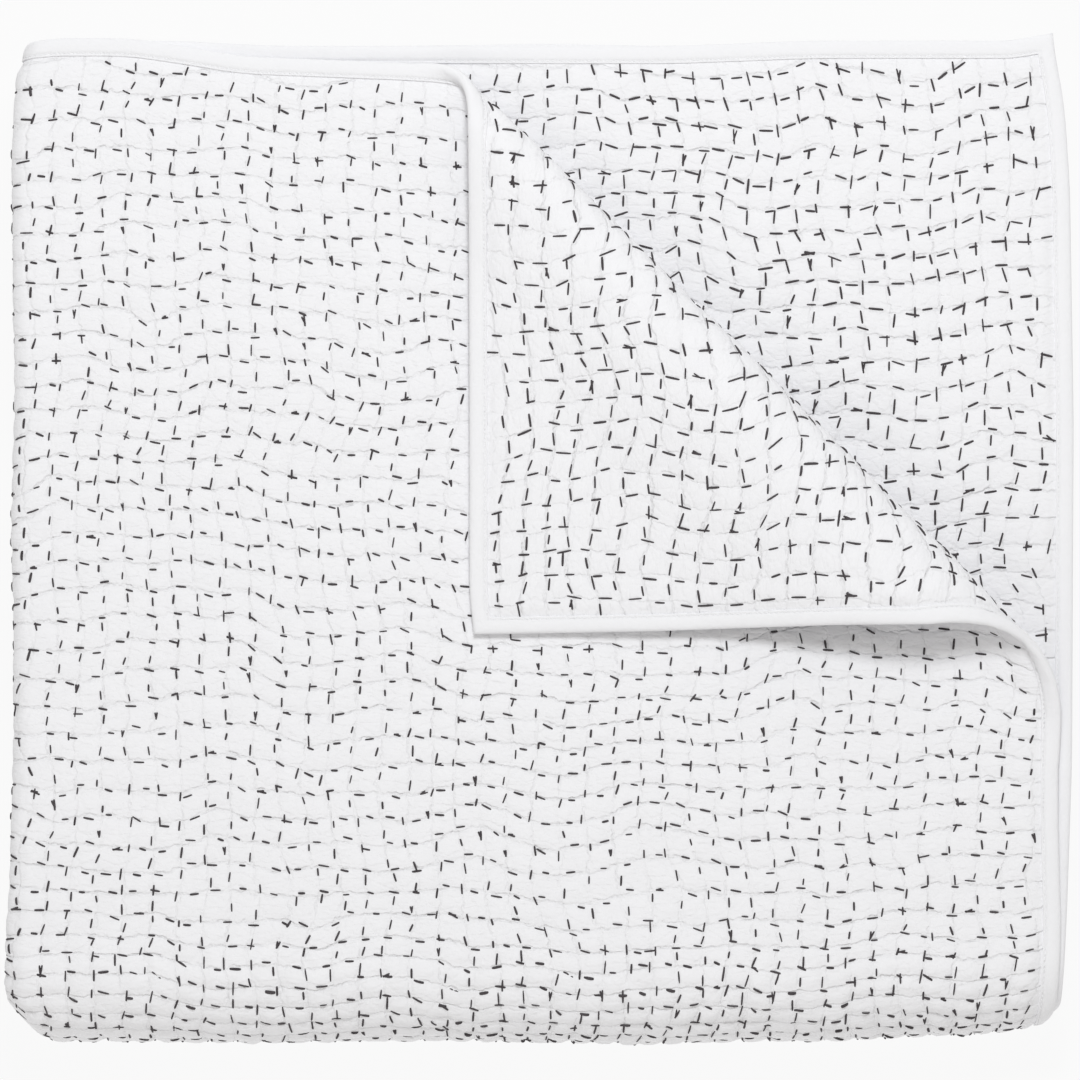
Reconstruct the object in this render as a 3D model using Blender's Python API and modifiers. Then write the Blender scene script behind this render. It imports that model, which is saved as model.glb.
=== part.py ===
"""A quilted coverlet, folded in four both ways, with one corner of its top layer turned back.

The quilted panel and the binding round its edge are first modelled flat, at the size they are cut to.
Every point is then carried through the folds: across the coverlet, along it, and over the turned corner.
Metres, +Z up. Seen from above, +X is the right and +Y the top of the folded coverlet.

Flat places are (u, v, n). u runs across from the free right edge of the top layer, v runs along from
its free top end, and n is the height above the middle of the cloth, towards its front.
"""

import math
from collections import namedtuple

import bmesh
import bpy
from mathutils import Matrix, Vector

# The cloth
WIDTH = 2.337
LENGTH = 2.150
CLOTH_THICKNESS = 0.0050
LAYER_PITCH = 0.0057

# The binding: a folded strip round the edge, over the pressed rim of the panel
BINDING_WIDTH = 0.0100
BINDING_HEIGHT = 0.0048
BINDING_CLOTH = 0.0008
BINDING_ROUND = 0.0009
FIT = 0.0003
RIM_HEIGHT = BINDING_HEIGHT - 2 * BINDING_CLOTH - 2 * FIT
RIM_WIDTH = BINDING_WIDTH + 2 * FIT
RIM_SLOPE = 0.0022

# The folds. Each layer is counted from the top of a strip of four: a, b, c and d
STRIP_LAYERS = 4
OUTER_TURN = 1.5 * LAYER_PITCH
INNER_TURN = 0.5 * LAYER_PITCH
TOP_RUN = 0.4993
MIDDLE_RUN = 0.4850
STRIP_OUTER_TURN = 6 * LAYER_PITCH
STRIP_INNER_TURN = 2 * LAYER_PITCH
INNER_FOLD_INSET = 0.0015
OUTER_STEPS = 6
INNER_STEPS = 4
MIDDLE_STEPS = 4
STRIP_OUTER_STEPS = 10
STRIP_MIDDLE_STEPS = 6
STRIP_INNER_STEPS = 4

# The turned corner. Its crease runs at 45 degrees, where x + y has this sum. The cloth goes round it in a
# soft roll, which opens like a cone from the top end of the crease to its side end, and then settles
CREASE_SUM = 0.7311
ROLL_AT_TOP = 0.042
ROLL_AT_SIDE = 0.094
ROLL_FLATNESS = 0.75
ROLL_SETTLE = 1.3
ROLL_STEPS = 9
SETTLE_STEPS = 4
FLAP_CLEARANCE = 0.0012
FLAP_SHEAR = 0.029
REVEAL_MARGIN = 0.010

# The quilting
ROW_PITCH = 0.0144
COLUMN_PITCH = 0.0146
PUFF_RISE = 0.0011
STITCH_SINK = 0.0003
ROW_WAVE = 0.0035
COLUMN_WAVE = 0.0030
WAVE_FADE = 0.025

# The waves that the hand-sewn columns and rows wander in: each one's share of the whole, how fast it turns
# across and along the cloth, in radians a metre, and the angle it starts at
Wave = namedtuple("Wave", "share across along start")
COLUMN_WAVES = (Wave(1.0, 6, 33, 0.0), Wave(0.5, -19, 71, 1.0))
ROW_WAVES = (Wave(1.0, 38, -7, 2.0), Wave(0.5, 83, 13, 0.0))

# How the stack has settled
FREE_END_SINK = 0.055
RIGHT_SIDE_SINK = 0.030
LEFT_ROUND = 0.030
RIGHT_ROUND = 0.014

# How far the free ends of the top and last strips reach past their runs, at distances u across the cloth
Reach = namedtuple("Reach", "u past")
TOP_END = (
    Reach(0.000, -0.009),
    Reach(0.018, -0.006),
    Reach(0.300, -0.006),
    Reach(0.350, -0.001),
    Reach(0.454, 0.003),
    Reach(0.485, 0.008),
    Reach(0.521, 0.013),
    Reach(0.5710, 0.013),
    Reach(0.5975, 0.007),
    Reach(0.720, 0.002),
    Reach(1.000, 0.005),
    Reach(1.170, 0.003),
    Reach(1.500, 0.006),
    Reach(1.757, 0.010),
    Reach(1.830, 0.012),
    Reach(1.890, 0.009),
    Reach(2.120, 0.009),
    Reach(2.200, 0.012),
    Reach(2.337, 0.014),
)
LAST_END = (
    Reach(0.000, 0.004),
    Reach(0.300, -0.001),
    Reach(0.584, 0.003),
    Reach(0.900, 0.000),
    Reach(1.170, 0.005),
    Reach(1.460, -0.002),
    Reach(1.753, 0.002),
    Reach(2.050, 0.006),
    Reach(2.337, 0.001),
)

# How far the free right side of the top layer reaches past its run, at distances v along the cloth
SideReach = namedtuple("SideReach", "v past")
FREE_SIDE = (
    SideReach(0.000, -0.0060),
    SideReach(0.100, -0.0080),
    SideReach(0.200, -0.0120),
    SideReach(0.260, -0.0125),
    SideReach(0.300, -0.0080),
    SideReach(0.350, 0.0000),
    SideReach(0.420, 0.0020),
    SideReach(0.490, 0.0060),
    SideReach(0.540, 0.0060),
    SideReach(0.620, 0.0000),
)

# How far the right side bows, at heights y up the folded coverlet
Bow = namedtuple("Bow", "y shift")
RIGHT_SIDE = (
    Bow(-0.045, -0.006),
    Bow(0.018, -0.003),
    Bow(0.110, 0.000),
    Bow(0.300, 0.001),
    Bow(0.430, -0.001),
    Bow(0.475, -0.004),
    Bow(0.514, -0.011),
)

PANEL_COLOUR = (0.875, 0.880, 0.890, 1.0)
BINDING_COLOUR = (0.900, 0.905, 0.910, 1.0)
CLOTH_ROUGHNESS = 0.85

# A straight run has bend 0, and a half turn has bend 1 to the left or -1 to the right
Stretch = namedtuple("Stretch", "x y heading length bend radius")


def fold_path(x, y, heading, pieces):
    """Runs and half turns laid end to end. A piece is (length, 0, 0) or (0, bend, radius)."""
    path = []
    for run, bend, radius in pieces:
        length = run if bend == 0 else math.pi * radius
        stretch = Stretch(x, y, heading, length, bend, radius)
        path.append(stretch)
        x, y = beside(stretch, length, 0.0)
        heading += bend * math.pi
    return path


def beside(stretch, distance, offset):
    """The point at a distance along a stretch, offset to its right."""
    if stretch.bend == 0:
        ahead = (math.cos(stretch.heading), math.sin(stretch.heading))
        return (
            stretch.x + distance * ahead[0] + offset * ahead[1],
            stretch.y + distance * ahead[1] - offset * ahead[0],
        )
    inward = stretch.bend * stretch.radius
    centre_x = stretch.x - inward * math.sin(stretch.heading)
    centre_y = stretch.y + inward * math.cos(stretch.heading)
    angle = stretch.heading + stretch.bend * distance / stretch.radius
    reach = stretch.bend * (stretch.radius + stretch.bend * offset)
    return centre_x + reach * math.sin(angle), centre_y - reach * math.cos(angle)


def follow(path, distance, offset):
    """The point beside a whole path."""
    for stretch in path[:-1]:
        if distance < stretch.length:
            return beside(stretch, distance, offset)
        distance -= stretch.length
    return beside(path[-1], distance, offset)


def across_path():
    """The path of the cloth across the coverlet: layers a, d, c and b, in the plane of x and strip height."""
    quarter = WIDTH / 4
    run_a = quarter - math.pi / 2 * OUTER_TURN
    run_b = quarter - math.pi / 2 * INNER_TURN
    turns = math.pi * (OUTER_TURN + 2 * INNER_TURN)
    run_cd = (WIDTH - run_a - run_b - turns) / 2
    pieces = (
        (run_a, 0, 0),
        (0, 1, OUTER_TURN),
        (run_cd, 0, 0),
        (0, 1, INNER_TURN),
        (run_cd, 0, 0),
        (0, -1, INNER_TURN),
        (run_b, 0, 0),
    )
    return fold_path(run_a, (STRIP_LAYERS - 0.5) * LAYER_PITCH, math.pi, pieces)


def along_path():
    """The path of the strip of four layers along the coverlet, in the plane of y and z."""
    turns = math.pi * (STRIP_OUTER_TURN + 2 * STRIP_INNER_TURN)
    last_run = LENGTH - TOP_RUN - 2 * MIDDLE_RUN - turns
    pieces = (
        (TOP_RUN, 0, 0),
        (0, 1, STRIP_OUTER_TURN),
        (MIDDLE_RUN, 0, 0),
        (0, 1, STRIP_INNER_TURN),
        (MIDDLE_RUN - INNER_FOLD_INSET, 0, 0),
        (0, -1, STRIP_INNER_TURN),
        (last_run, 0, 0),
    )
    middle = (4 * STRIP_LAYERS - STRIP_LAYERS / 2) * LAYER_PITCH
    return fold_path(TOP_RUN, middle, math.pi, pieces)


def roll_lines():
    """Where the corner is cut, round the roll and as it settles, in shares of the roll's own length."""
    lines = [i / ROLL_STEPS for i in range(ROLL_STEPS + 1)]
    return lines + [1 + ROLL_SETTLE * i / SETTLE_STEPS for i in range(1, SETTLE_STEPS + 1)]


ACROSS = across_path()
ALONG = along_path()
RUN_A = ACROSS[0].length
START_B = WIDTH - ACROSS[-1].length
TOP_MIDDLE = (4 * STRIP_LAYERS - 0.5) * LAYER_PITCH
FLOOR_GAP = (LAYER_PITCH - CLOTH_THICKNESS) / 2
ROOT = math.sqrt(2)
CREASE_TOP = (CREASE_SUM - 2 * TOP_RUN) / ROOT
CREASE_SIDE = (2 * RUN_A - CREASE_SUM) / ROOT
ROLL_SPREAD = (ROLL_AT_SIDE - ROLL_AT_TOP) / (CREASE_SIDE - CREASE_TOP)
ROLL_RISE = ROLL_FLATNESS / math.pi
ROLL_REACH = math.sqrt(2 - ROLL_FLATNESS**2) / math.pi
ROLL_LINES = roll_lines()
LEFT_LIMIT = -OUTER_TURN - CLOTH_THICKNESS / 2
RIGHT_LIMIT = ACROSS[-1].length
BOTTOM_LIMIT = -STRIP_OUTER_TURN - 1.5 * LAYER_PITCH - CLOTH_THICKNESS / 2


def ease(share):
    """A smooth step from 0 to 1."""
    share = min(max(share, 0.0), 1.0)
    return share * share * (3 - 2 * share)


def read_table(table, place):
    """The second column of a short table, in even steps between the rows on each side of a place."""
    if place <= table[0][0]:
        return table[0][1]
    for (start, first), (end, second) in zip(table, table[1:]):
        if place < end:
            return first + (second - first) * (place - start) / (end - start)
    return table[-1][1]


def end_reach(u, v):
    """How far the free end of the strip is moved at this u, fading from the end to the next fold."""
    top = max(0.0, 1 - v / TOP_RUN)
    last = max(0.0, 1 - (LENGTH - v) / ALONG[-1].length)
    return top * read_table(TOP_END, u) + last * read_table(LAST_END, u)


def side_reach(u, v):
    """How far the free side of the top layer is moved at this v, fading from the side to the next fold."""
    return max(0.0, 1 - u / RUN_A) * read_table(FREE_SIDE, v)


def by_crease(x, y):
    """A plan place by the crease: how far past it, how far along it, and the roll's length there."""
    along = (x - y) / ROOT
    return (x + y - CREASE_SUM) / ROOT, along, ROLL_AT_TOP + ROLL_SPREAD * (along - CREASE_TOP)


def roll_place(share, length, above):
    """How far past the crease and how high the turned cloth lies, at a share of the roll's length."""
    rise = ROLL_RISE * length
    reach = ROLL_REACH * length
    angle = math.pi * min(share, 1.0)
    past = max(share - 1, 0.0)
    drop = ease(past / ROLL_SETTLE) * (2 * rise - LAYER_PITCH - FLAP_CLEARANCE)
    out = (reach - above) * math.sin(angle) - reach - past * length
    return Vector((out, rise - (rise - above) * math.cos(angle) - drop))


def faceted_roll(share, length, above):
    """The same place, on the flat facets between the lines where the corner is cut."""
    for start, end in zip(ROLL_LINES, ROLL_LINES[1:]):
        if share < end:
            first = roll_place(start, length, above)
            return first.lerp(roll_place(end, length, above), (share - start) / (end - start))
    return roll_place(share, length, above)


def turn_corner(x, y, z):
    """Rolls the corner of the top layer up, over and back on itself along the crease."""
    across, along, length = by_crease(x, y)
    share = across / length + ROLL_REACH
    if share <= 0:
        return x, y, z
    across, height = faceted_roll(share, length, z - TOP_MIDDLE)
    across += CREASE_SUM / ROOT
    along -= FLAP_SHEAR * max(share - 1, 0.0) * length
    return (across + along) / ROOT, (across - along) / ROOT, TOP_MIDDLE + height


def round_corner(x, y, corner_x, inward, size):
    """Draws a square lower corner of the plan in to a round one. Inward is 1 to the right, -1 to the left."""
    from_x = 1 - inward * (x - corner_x) / size
    from_y = 1 - (y - BOTTOM_LIMIT) / size
    if from_x <= 0 or from_y <= 0:
        return x, y
    round_x = from_x * math.sqrt(max(1 - from_y * from_y / 2, 0.0))
    round_y = from_y * math.sqrt(max(1 - from_x * from_x / 2, 0.0))
    return corner_x + inward * size * (1 - round_x), BOTTOM_LIMIT + size * (1 - round_y)


def settle(x, y, z):
    """The uneven outline of the folded stack, and its height, which falls to its free end and right side."""
    height = 1 - FREE_END_SINK * y / TOP_RUN - RIGHT_SIDE_SINK * x / RUN_A
    bow = ease(x / RIGHT_LIMIT) ** 2 * read_table(RIGHT_SIDE, y)
    x, y = round_corner(x, y, LEFT_LIMIT, 1, LEFT_ROUND)
    x, y = round_corner(x, y, RIGHT_LIMIT, -1, RIGHT_ROUND)
    return Vector((x + bow, y, (z - FLOOR_GAP) * height))


def folded(place):
    """Carries a flat place (u, v, n) through the folds to where it lies."""
    u, v, n = place
    x, height = follow(ACROSS, u, n)
    y, z = follow(ALONG, v, height - STRIP_LAYERS / 2 * LAYER_PITCH)
    x += side_reach(u, v)
    y += end_reach(u, v)
    if in_top_layer(u, v):
        x, y, z = turn_corner(x, y, z)
    return settle(x, y, z)


def in_top_layer(u, v):
    return u < RUN_A and v < TOP_RUN


def plan_place(u, v):
    """Where a place on layer a or b of the top strip lies in plan, before the corner is turned."""
    x = RUN_A - u if u < RUN_A else u - START_B
    return x + side_reach(u, v), TOP_RUN - v + end_reach(u, v)


def cut(bm, point, normal, wanted=None):
    """Cuts the faces whose middle is wanted, or all of them, along a plane."""
    faces = [f for f in bm.faces if wanted is None or wanted(f.calc_center_median())]
    edges = {e for f in faces for e in f.edges}
    verts = {v for f in faces for v in f.verts}
    geometry = [*verts, *edges, *faces]
    if faces:
        bmesh.ops.bisect_plane(bm, geom=geometry, plane_co=point, plane_no=normal, dist=1e-6)


def cut_at_u(bm, u, wanted=None):
    cut(bm, (u, 0, 0), (1, 0, 0), wanted)


def cut_at_v(bm, v, wanted=None):
    cut(bm, (0, v, 0), (0, 1, 0), wanted)


def fold_lines(path, steps):
    """The distances along a path where its cloth is cut, so that it can bend there."""
    lines = []
    start = 0.0
    for index, stretch in enumerate(path):
        if stretch.bend:
            count = steps[index]
            lines += [start + stretch.length * i / count for i in range(count + 1)]
        start += stretch.length
    return lines


def cut_folds(bm):
    """Cuts the flat cloth where it turns, both ways."""
    for u in fold_lines(ACROSS, {1: OUTER_STEPS, 3: MIDDLE_STEPS, 5: INNER_STEPS}):
        cut_at_u(bm, u)
    for v in fold_lines(ALONG, {1: STRIP_OUTER_STEPS, 3: STRIP_MIDDLE_STEPS, 5: STRIP_INNER_STEPS}):
        cut_at_v(bm, v)


def cut_roll(bm):
    """Cuts the top layer across its corner, where it rolls over and then settles."""
    def on_top(place):
        return in_top_layer(place.x, place.y)

    for line in ROLL_LINES:
        slope = (line - ROLL_REACH) * ROLL_SPREAD
        across = CREASE_SUM / ROOT + (line - ROLL_REACH) * ROLL_AT_TOP
        x, y = (across + CREASE_TOP) / ROOT, (across - CREASE_TOP) / ROOT
        cut(bm, (RUN_A - x, TOP_RUN - y, 0), (1 - slope, 1 + slope, 0), on_top)


def by_side(place):
    """Whether a flat face is by a free side, or on the fold that lies between the free sides."""
    near_side = min(place.x, WIDTH - place.x) < RIM_WIDTH + RIM_SLOPE
    return near_side or abs(place.x - WIDTH / 2) < math.pi * INNER_TURN


def cut_edges(bm):
    """Cuts the cloth by its edges at the rows of the tables, so that the edges can bow."""
    start = 0.0
    for stretch in ALONG:
        if stretch.bend == 0:
            ahead = math.cos(stretch.heading)
            for row in RIGHT_SIDE[1:-1]:
                cut_at_v(bm, start + (row.y - stretch.x) / ahead, by_side)
        start += stretch.length
    for table, end in ((TOP_END, 0.0), (LAST_END, LENGTH)):
        for row in table[1:-1]:
            cut_at_u(bm, row.u, lambda place: abs(place.y - end) < RIM_WIDTH + RIM_SLOPE)
    for row in FREE_SIDE[1:]:
        cut_at_v(bm, row.v, lambda place: place.x < RIM_WIDTH + RIM_SLOPE)
    start = 0.0
    for stretch in ACROSS:
        if stretch.bend == 0:
            ahead = math.cos(stretch.heading)
            cut_at_u(bm, start + (LEFT_LIMIT + LEFT_ROUND - stretch.x) / ahead, on_outer_strip_turn)
        start += stretch.length


def on_outer_strip_turn(place):
    return TOP_RUN < place.y < TOP_RUN + ALONG[1].length


def flat_box(width, length, height):
    """A flat box centred on the cloth, from Blender's cube."""
    bm = bmesh.new()
    bmesh.ops.create_cube(bm, size=1)
    for vert in bm.verts:
        vert.co = Vector((
            WIDTH / 2 + vert.co.x * width,
            LENGTH / 2 + vert.co.y * length,
            vert.co.z * height,
        ))
    return bm


def rim_distance(place):
    """The distance in from the nearest edge of the flat coverlet."""
    return min(place.x, WIDTH - place.x, place.y, LENGTH - place.y)


def flap_reach():
    """How far the turned corner reaches over the top layer, in columns and rows from its free edges."""
    left, low, _ = turn_corner(*plan_place(0.0, 0.0), TOP_MIDDLE)
    return math.floor((RUN_A - left) / COLUMN_PITCH), math.floor((TOP_RUN - low) / ROW_PITCH)


def quilt_margin(u, v, n):
    """How far a flat place is inside the quilting that shows: on layer a, its turned corner and layer b."""
    margin = min(rim_distance(Vector((u, v, n))) - RIM_WIDTH - RIM_SLOPE, TOP_RUN - v)
    across, _, length = by_crease(*plan_place(u, v))
    if u > START_B:
        return min(margin, u - START_B, across + REVEAL_MARGIN) if n < 0 else -1
    if u > RUN_A:
        return -1
    if n < 0:
        return min(margin, across - (1 - ROLL_REACH) * length)
    columns, rows = flap_reach()
    return min(margin, RUN_A - u, max(u - columns * COLUMN_PITCH, v - rows * ROW_PITCH))


def shows_quilting(place):
    return abs(place.z) > CLOTH_THICKNESS / 4 and quilt_margin(*place) > 0


def sum_waves(waves, u, v):
    return sum(wave.share * math.sin(wave.across * u + wave.along * v + wave.start) for wave in waves)


def stitch_wave(place):
    """How far the hand-sewn columns and rows wander at a place, fading where the quilting ends."""
    u, v, _ = place
    fade = ease(quilt_margin(*place) / WAVE_FADE)
    column = COLUMN_WAVE * sum_waves(COLUMN_WAVES, u, v)
    row = ROW_WAVE * sum_waves(ROW_WAVES, u, v)
    return Vector((fade * column, fade * row, 0))


def quilt(bm):
    """Cuts the faces that show into the cells between the stitching, and puffs each one up."""
    columns, rows = flap_reach()
    cut_at_u(bm, columns * COLUMN_PITCH, lambda p: in_top_layer(p.x, p.y) and p.z > 0)
    cut_at_v(bm, rows * ROW_PITCH, lambda p: in_top_layer(p.x, p.y) and p.z > 0)
    reveal = START_B + CREASE_SUM - TOP_RUN - ROOT * REVEAL_MARGIN
    cut(bm, (reveal, 0, 0), (1, -1, 0), lambda p: p.x > START_B and p.y < TOP_RUN and p.z < 0)
    for row in range(1, int(TOP_RUN / ROW_PITCH)):
        cut_at_v(bm, row * ROW_PITCH, shows_quilting)
    for start, end in ((0, RUN_A), (START_B, WIDTH)):
        for column in range(1, int((end - start) / COLUMN_PITCH) + 1):
            cut_at_u(bm, start + column * COLUMN_PITCH, shows_quilting)
    cells = {f: f.calc_area() for f in bm.faces if shows_quilting(f.calc_center_median())}
    corners = {v for f in cells for v in f.verts if all(g in cells for g in v.link_faces)}
    for vert in corners:
        vert.co += stitch_wave(vert.co) - Vector((0, 0, math.copysign(STITCH_SINK, vert.co.z)))
    for cell, area in cells.items():
        rise = PUFF_RISE * math.sqrt(min(area / (ROW_PITCH * COLUMN_PITCH), 1.0))
        middle = bmesh.ops.poke(bm, faces=[cell])["verts"][0]
        middle.co.z = math.copysign(CLOTH_THICKNESS / 2 + rise, middle.co.z)


def cloth_material(name, colour):
    material = bpy.data.materials.new(name)
    material.use_nodes = True
    shader = material.node_tree.nodes["Principled BSDF"]
    shader.inputs["Base Color"].default_value = colour
    shader.inputs["Roughness"].default_value = CLOTH_ROUGHNESS
    shader.inputs["Metallic"].default_value = 0.0
    return material


def fold_up(bm):
    for vert in bm.verts:
        vert.co = folded(vert.co)


def add_object(name, bm, material, collection):
    mesh = bpy.data.meshes.new(name)
    bm.to_mesh(mesh)
    bm.free()
    mesh.materials.append(material)
    obj = bpy.data.objects.new(name, mesh)
    collection.objects.link(obj)
    return obj


def quilted_panel(collection):
    """The two faces of cloth and their wadding, sewn together, with a rim pressed thin by the binding."""
    inset = BINDING_CLOTH + 2 * FIT
    bm = flat_box(WIDTH - 2 * inset, LENGTH - 2 * inset, CLOTH_THICKNESS)
    cut_folds(bm)
    for distance in (RIM_WIDTH, RIM_WIDTH + RIM_SLOPE):
        for u in (distance, WIDTH - distance):
            cut_at_u(bm, u)
        for v in (distance, LENGTH - distance):
            cut_at_v(bm, v)
    cut_roll(bm)
    cut_edges(bm)
    for vert in bm.verts:
        share = ease((rim_distance(vert.co) - RIM_WIDTH) / RIM_SLOPE)
        height = RIM_HEIGHT + (CLOTH_THICKNESS - RIM_HEIGHT) * share
        vert.co.z *= height / CLOTH_THICKNESS
    quilt(bm)
    fold_up(bm)
    return add_object("quilted_panel", bm, cloth_material("quilted_cotton", PANEL_COLOUR), collection)


def binding(collection):
    """The binding: a box round the coverlet's edge, opened inside and given its cloth's thickness."""
    bm = flat_box(WIDTH, LENGTH, BINDING_HEIGHT)
    cut_folds(bm)
    for distance in (BINDING_ROUND, BINDING_WIDTH):
        for u in (distance, WIDTH - distance):
            cut_at_u(bm, u)
        for v in (distance, LENGTH - distance):
            cut_at_v(bm, v)
    inside = [f for f in bm.faces if rim_distance(f.calc_center_median()) > BINDING_WIDTH]
    bmesh.ops.delete(bm, geom=inside, context="FACES")
    cut_roll(bm)
    cut_edges(bm)
    for vert in bm.verts:
        if rim_distance(vert.co) < BINDING_ROUND / 2:
            vert.co.z -= math.copysign(BINDING_ROUND, vert.co.z)
    material = cloth_material("binding_cotton", BINDING_COLOUR)
    obj = add_object("binding", bm, material, collection)
    shell = obj.modifiers.new("cloth", "SOLIDIFY")
    shell.thickness = BINDING_CLOTH
    shell.offset = -1
    shell.use_even_offset = True
    flat = obj.evaluated_get(bpy.context.evaluated_depsgraph_get())
    bm = bmesh.new()
    bm.from_mesh(bpy.data.meshes.new_from_object(flat))
    obj.modifiers.clear()
    fold_up(bm)
    bm.to_mesh(obj.data)
    bm.free()
    return obj


def centre_on_base(objects):
    """Brings the middle of the coverlet's underside to the origin."""
    places = [vert.co for obj in objects for vert in obj.data.vertices]
    low, high = (Vector(limit(p[axis] for p in places) for axis in range(3)) for limit in (min, max))
    middle = (low + high) / 2
    for obj in objects:
        obj.data.transform(Matrix.Translation((-middle.x, -middle.y, -low.z)))


def main():
    for obj in list(bpy.data.objects):
        bpy.data.objects.remove(obj)
    collection = bpy.data.collections.new("coverlet")
    bpy.context.scene.collection.children.link(collection)
    centre_on_base((quilted_panel(collection), binding(collection)))


main()
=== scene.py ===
import math
from collections import namedtuple
from itertools import product

import bpy
import numpy as np
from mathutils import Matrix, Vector


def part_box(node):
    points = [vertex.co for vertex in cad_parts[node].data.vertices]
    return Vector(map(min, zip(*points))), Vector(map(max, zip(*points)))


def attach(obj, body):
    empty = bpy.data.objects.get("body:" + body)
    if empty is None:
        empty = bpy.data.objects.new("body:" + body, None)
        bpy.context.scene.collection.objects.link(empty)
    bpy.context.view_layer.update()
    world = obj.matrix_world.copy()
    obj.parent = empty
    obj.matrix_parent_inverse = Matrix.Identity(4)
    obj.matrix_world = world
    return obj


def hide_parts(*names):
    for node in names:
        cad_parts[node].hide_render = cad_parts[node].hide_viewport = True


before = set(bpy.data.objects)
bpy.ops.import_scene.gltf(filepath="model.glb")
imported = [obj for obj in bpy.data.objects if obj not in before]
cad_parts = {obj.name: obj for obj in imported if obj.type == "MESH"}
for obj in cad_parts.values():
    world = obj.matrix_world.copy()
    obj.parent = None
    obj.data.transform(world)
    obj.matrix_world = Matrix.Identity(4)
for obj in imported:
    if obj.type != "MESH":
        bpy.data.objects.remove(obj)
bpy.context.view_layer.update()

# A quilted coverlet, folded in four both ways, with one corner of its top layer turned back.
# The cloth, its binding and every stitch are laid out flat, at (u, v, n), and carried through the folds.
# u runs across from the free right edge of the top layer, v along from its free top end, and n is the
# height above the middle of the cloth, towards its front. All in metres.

# The cloth and its folds, as in the solids
WIDTH = 2.337
LENGTH = 2.150
CLOTH_THICKNESS = 0.0050
LAYER_PITCH = 0.0057
STRIP_LAYERS = 4
OUTER_TURN = 1.5 * LAYER_PITCH
INNER_TURN = 0.5 * LAYER_PITCH
TOP_RUN = 0.4993
MIDDLE_RUN = 0.4850
STRIP_OUTER_TURN = 6 * LAYER_PITCH
STRIP_INNER_TURN = 2 * LAYER_PITCH
INNER_FOLD_INSET = 0.0015
FREE_END_SINK = 0.055
RIGHT_SIDE_SINK = 0.030
LEFT_ROUND = 0.030
RIGHT_ROUND = 0.014

# The turned corner
CREASE_SUM = 0.7311
ROLL_AT_TOP = 0.036
ROLL_AT_SIDE = 0.094
ROLL_FLATNESS = 0.75
ROLL_SETTLE = 1.3
TAIL_SETTLE = 2.8
TAIL_SHARE = 0.35
FLAP_CLEARANCE = 0.0012
FLAP_SHEAR = 0.029
REVEAL_MARGIN = 0.010
FLAP_COVER = 0.012
# Shares of the way over the roll: where the reverse starts to show, where the front stops,
# and where its mouth ends
ROLL_START = -0.02
ROLL_TOP = 0.55
ROLL_MOUTH = 1.6

# The rim of the panel under the binding, and the slope up from it
RIM_HALF = 0.0013
RIM_WIDTH = 0.0100
RIM_SLOPE = 0.0045
RELIEF_SLOPE = 0.008

# The quilting: its pitch, and its pillows and valleys
STITCH_PITCH = 0.0144
PILLOW_RISE = 0.0014
VALLEY_SINK = 0.0004
VALLEY_WIDTH = 0.17
ROW_PULL = 0.85
COLUMN_PULL = 0.55
EVEN_PULL = 0.60
PULL_RATE = 1.3
PULL_SEED = 5
PUFF_CHANGE = 0.22
PUFF_COLUMN_RATE = 2.3
PUFF_ROW_RATE = 3.1
PUFF_START = 9
PUFF_SEED = 8

# The rows crowd together in the lower turn, where the cloth is drawn in more
CROWDED_ROWS = 3
CROWD_START = TOP_RUN - 0.020
CROWD_LENGTH = 0.095
CROWD_FADE = 0.030
CROWD_COLUMN_PULL = 0.35
CROWD_RISE = 0.8

# Smooth noises that make the sewing lines wander and the cloth heave
Ripple = namedtuple("Ripple", "size across along start seed")
COLUMN_RIPPLES = (
    Ripple(0.0066, 0.100, 0.046, (3, 5), 1),
    Ripple(0.0027, 0.030, 0.019, (0, 0), 2),
)
ROW_RIPPLES = (
    Ripple(0.0074, 0.046, 0.085, (7, 2), 3),
    Ripple(0.0028, 0.018, 0.030, (0, 0), 4),
)
LATTICE = 64
CORRECTIONS = 16
HEAVES = (Ripple(0.00065, 0.040, 0.030, (0, 0), 12),)

# The mesh: blocks of two stitches, cut into this many steps where they show
BLOCK = 2 * STITCH_PITCH
STEPS = 12
TURN_STEPS = 6
EDGE_STEPS = 4
EDGE_START = 0.0014
EDGE_LINE = 0.0106
# The parts of hidden runs and of the lower turn, and how far under the turned corner fine cloth starts
HIDDEN_RUN_PARTS = 10
HIDDEN_STRIP_PARTS = 8
UNDER_FLAP_PARTS = 4
LOWER_TURN_PARTS = 4
REVEAL_START = 0.020
# A block is probed at this many places each way, just inside its sides
PROBES = 5
JUST_INSIDE = 1e-5
ROUNDING = 1e-6

# How far the ends of the cloth reach past their runs, at distances u across, and how the right side bows
Reach = namedtuple("Reach", "u past")
TOP_END = (
    Reach(0.000, -0.009),
    Reach(0.018, -0.006),
    Reach(0.300, -0.006),
    Reach(0.350, -0.001),
    Reach(0.454, 0.003),
    Reach(0.485, 0.008),
    Reach(0.521, 0.013),
    Reach(0.5710, 0.013),
    Reach(0.5975, 0.007),
    Reach(0.720, 0.002),
    Reach(1.000, 0.005),
    Reach(1.170, 0.003),
    Reach(1.500, 0.006),
    Reach(1.757, 0.010),
    Reach(1.830, 0.012),
    Reach(1.890, 0.009),
    Reach(2.120, 0.009),
    Reach(2.200, 0.012),
    Reach(2.320, 0.0120),
    Reach(2.337, 0.0175),
)
LAST_END = (
    Reach(0.000, 0.004),
    Reach(0.300, -0.001),
    Reach(0.584, 0.003),
    Reach(0.900, 0.000),
    Reach(1.170, 0.005),
    Reach(1.460, -0.002),
    Reach(1.753, 0.002),
    Reach(2.050, 0.006),
    Reach(2.337, 0.001),
)
SideReach = namedtuple("SideReach", "v past")
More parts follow.
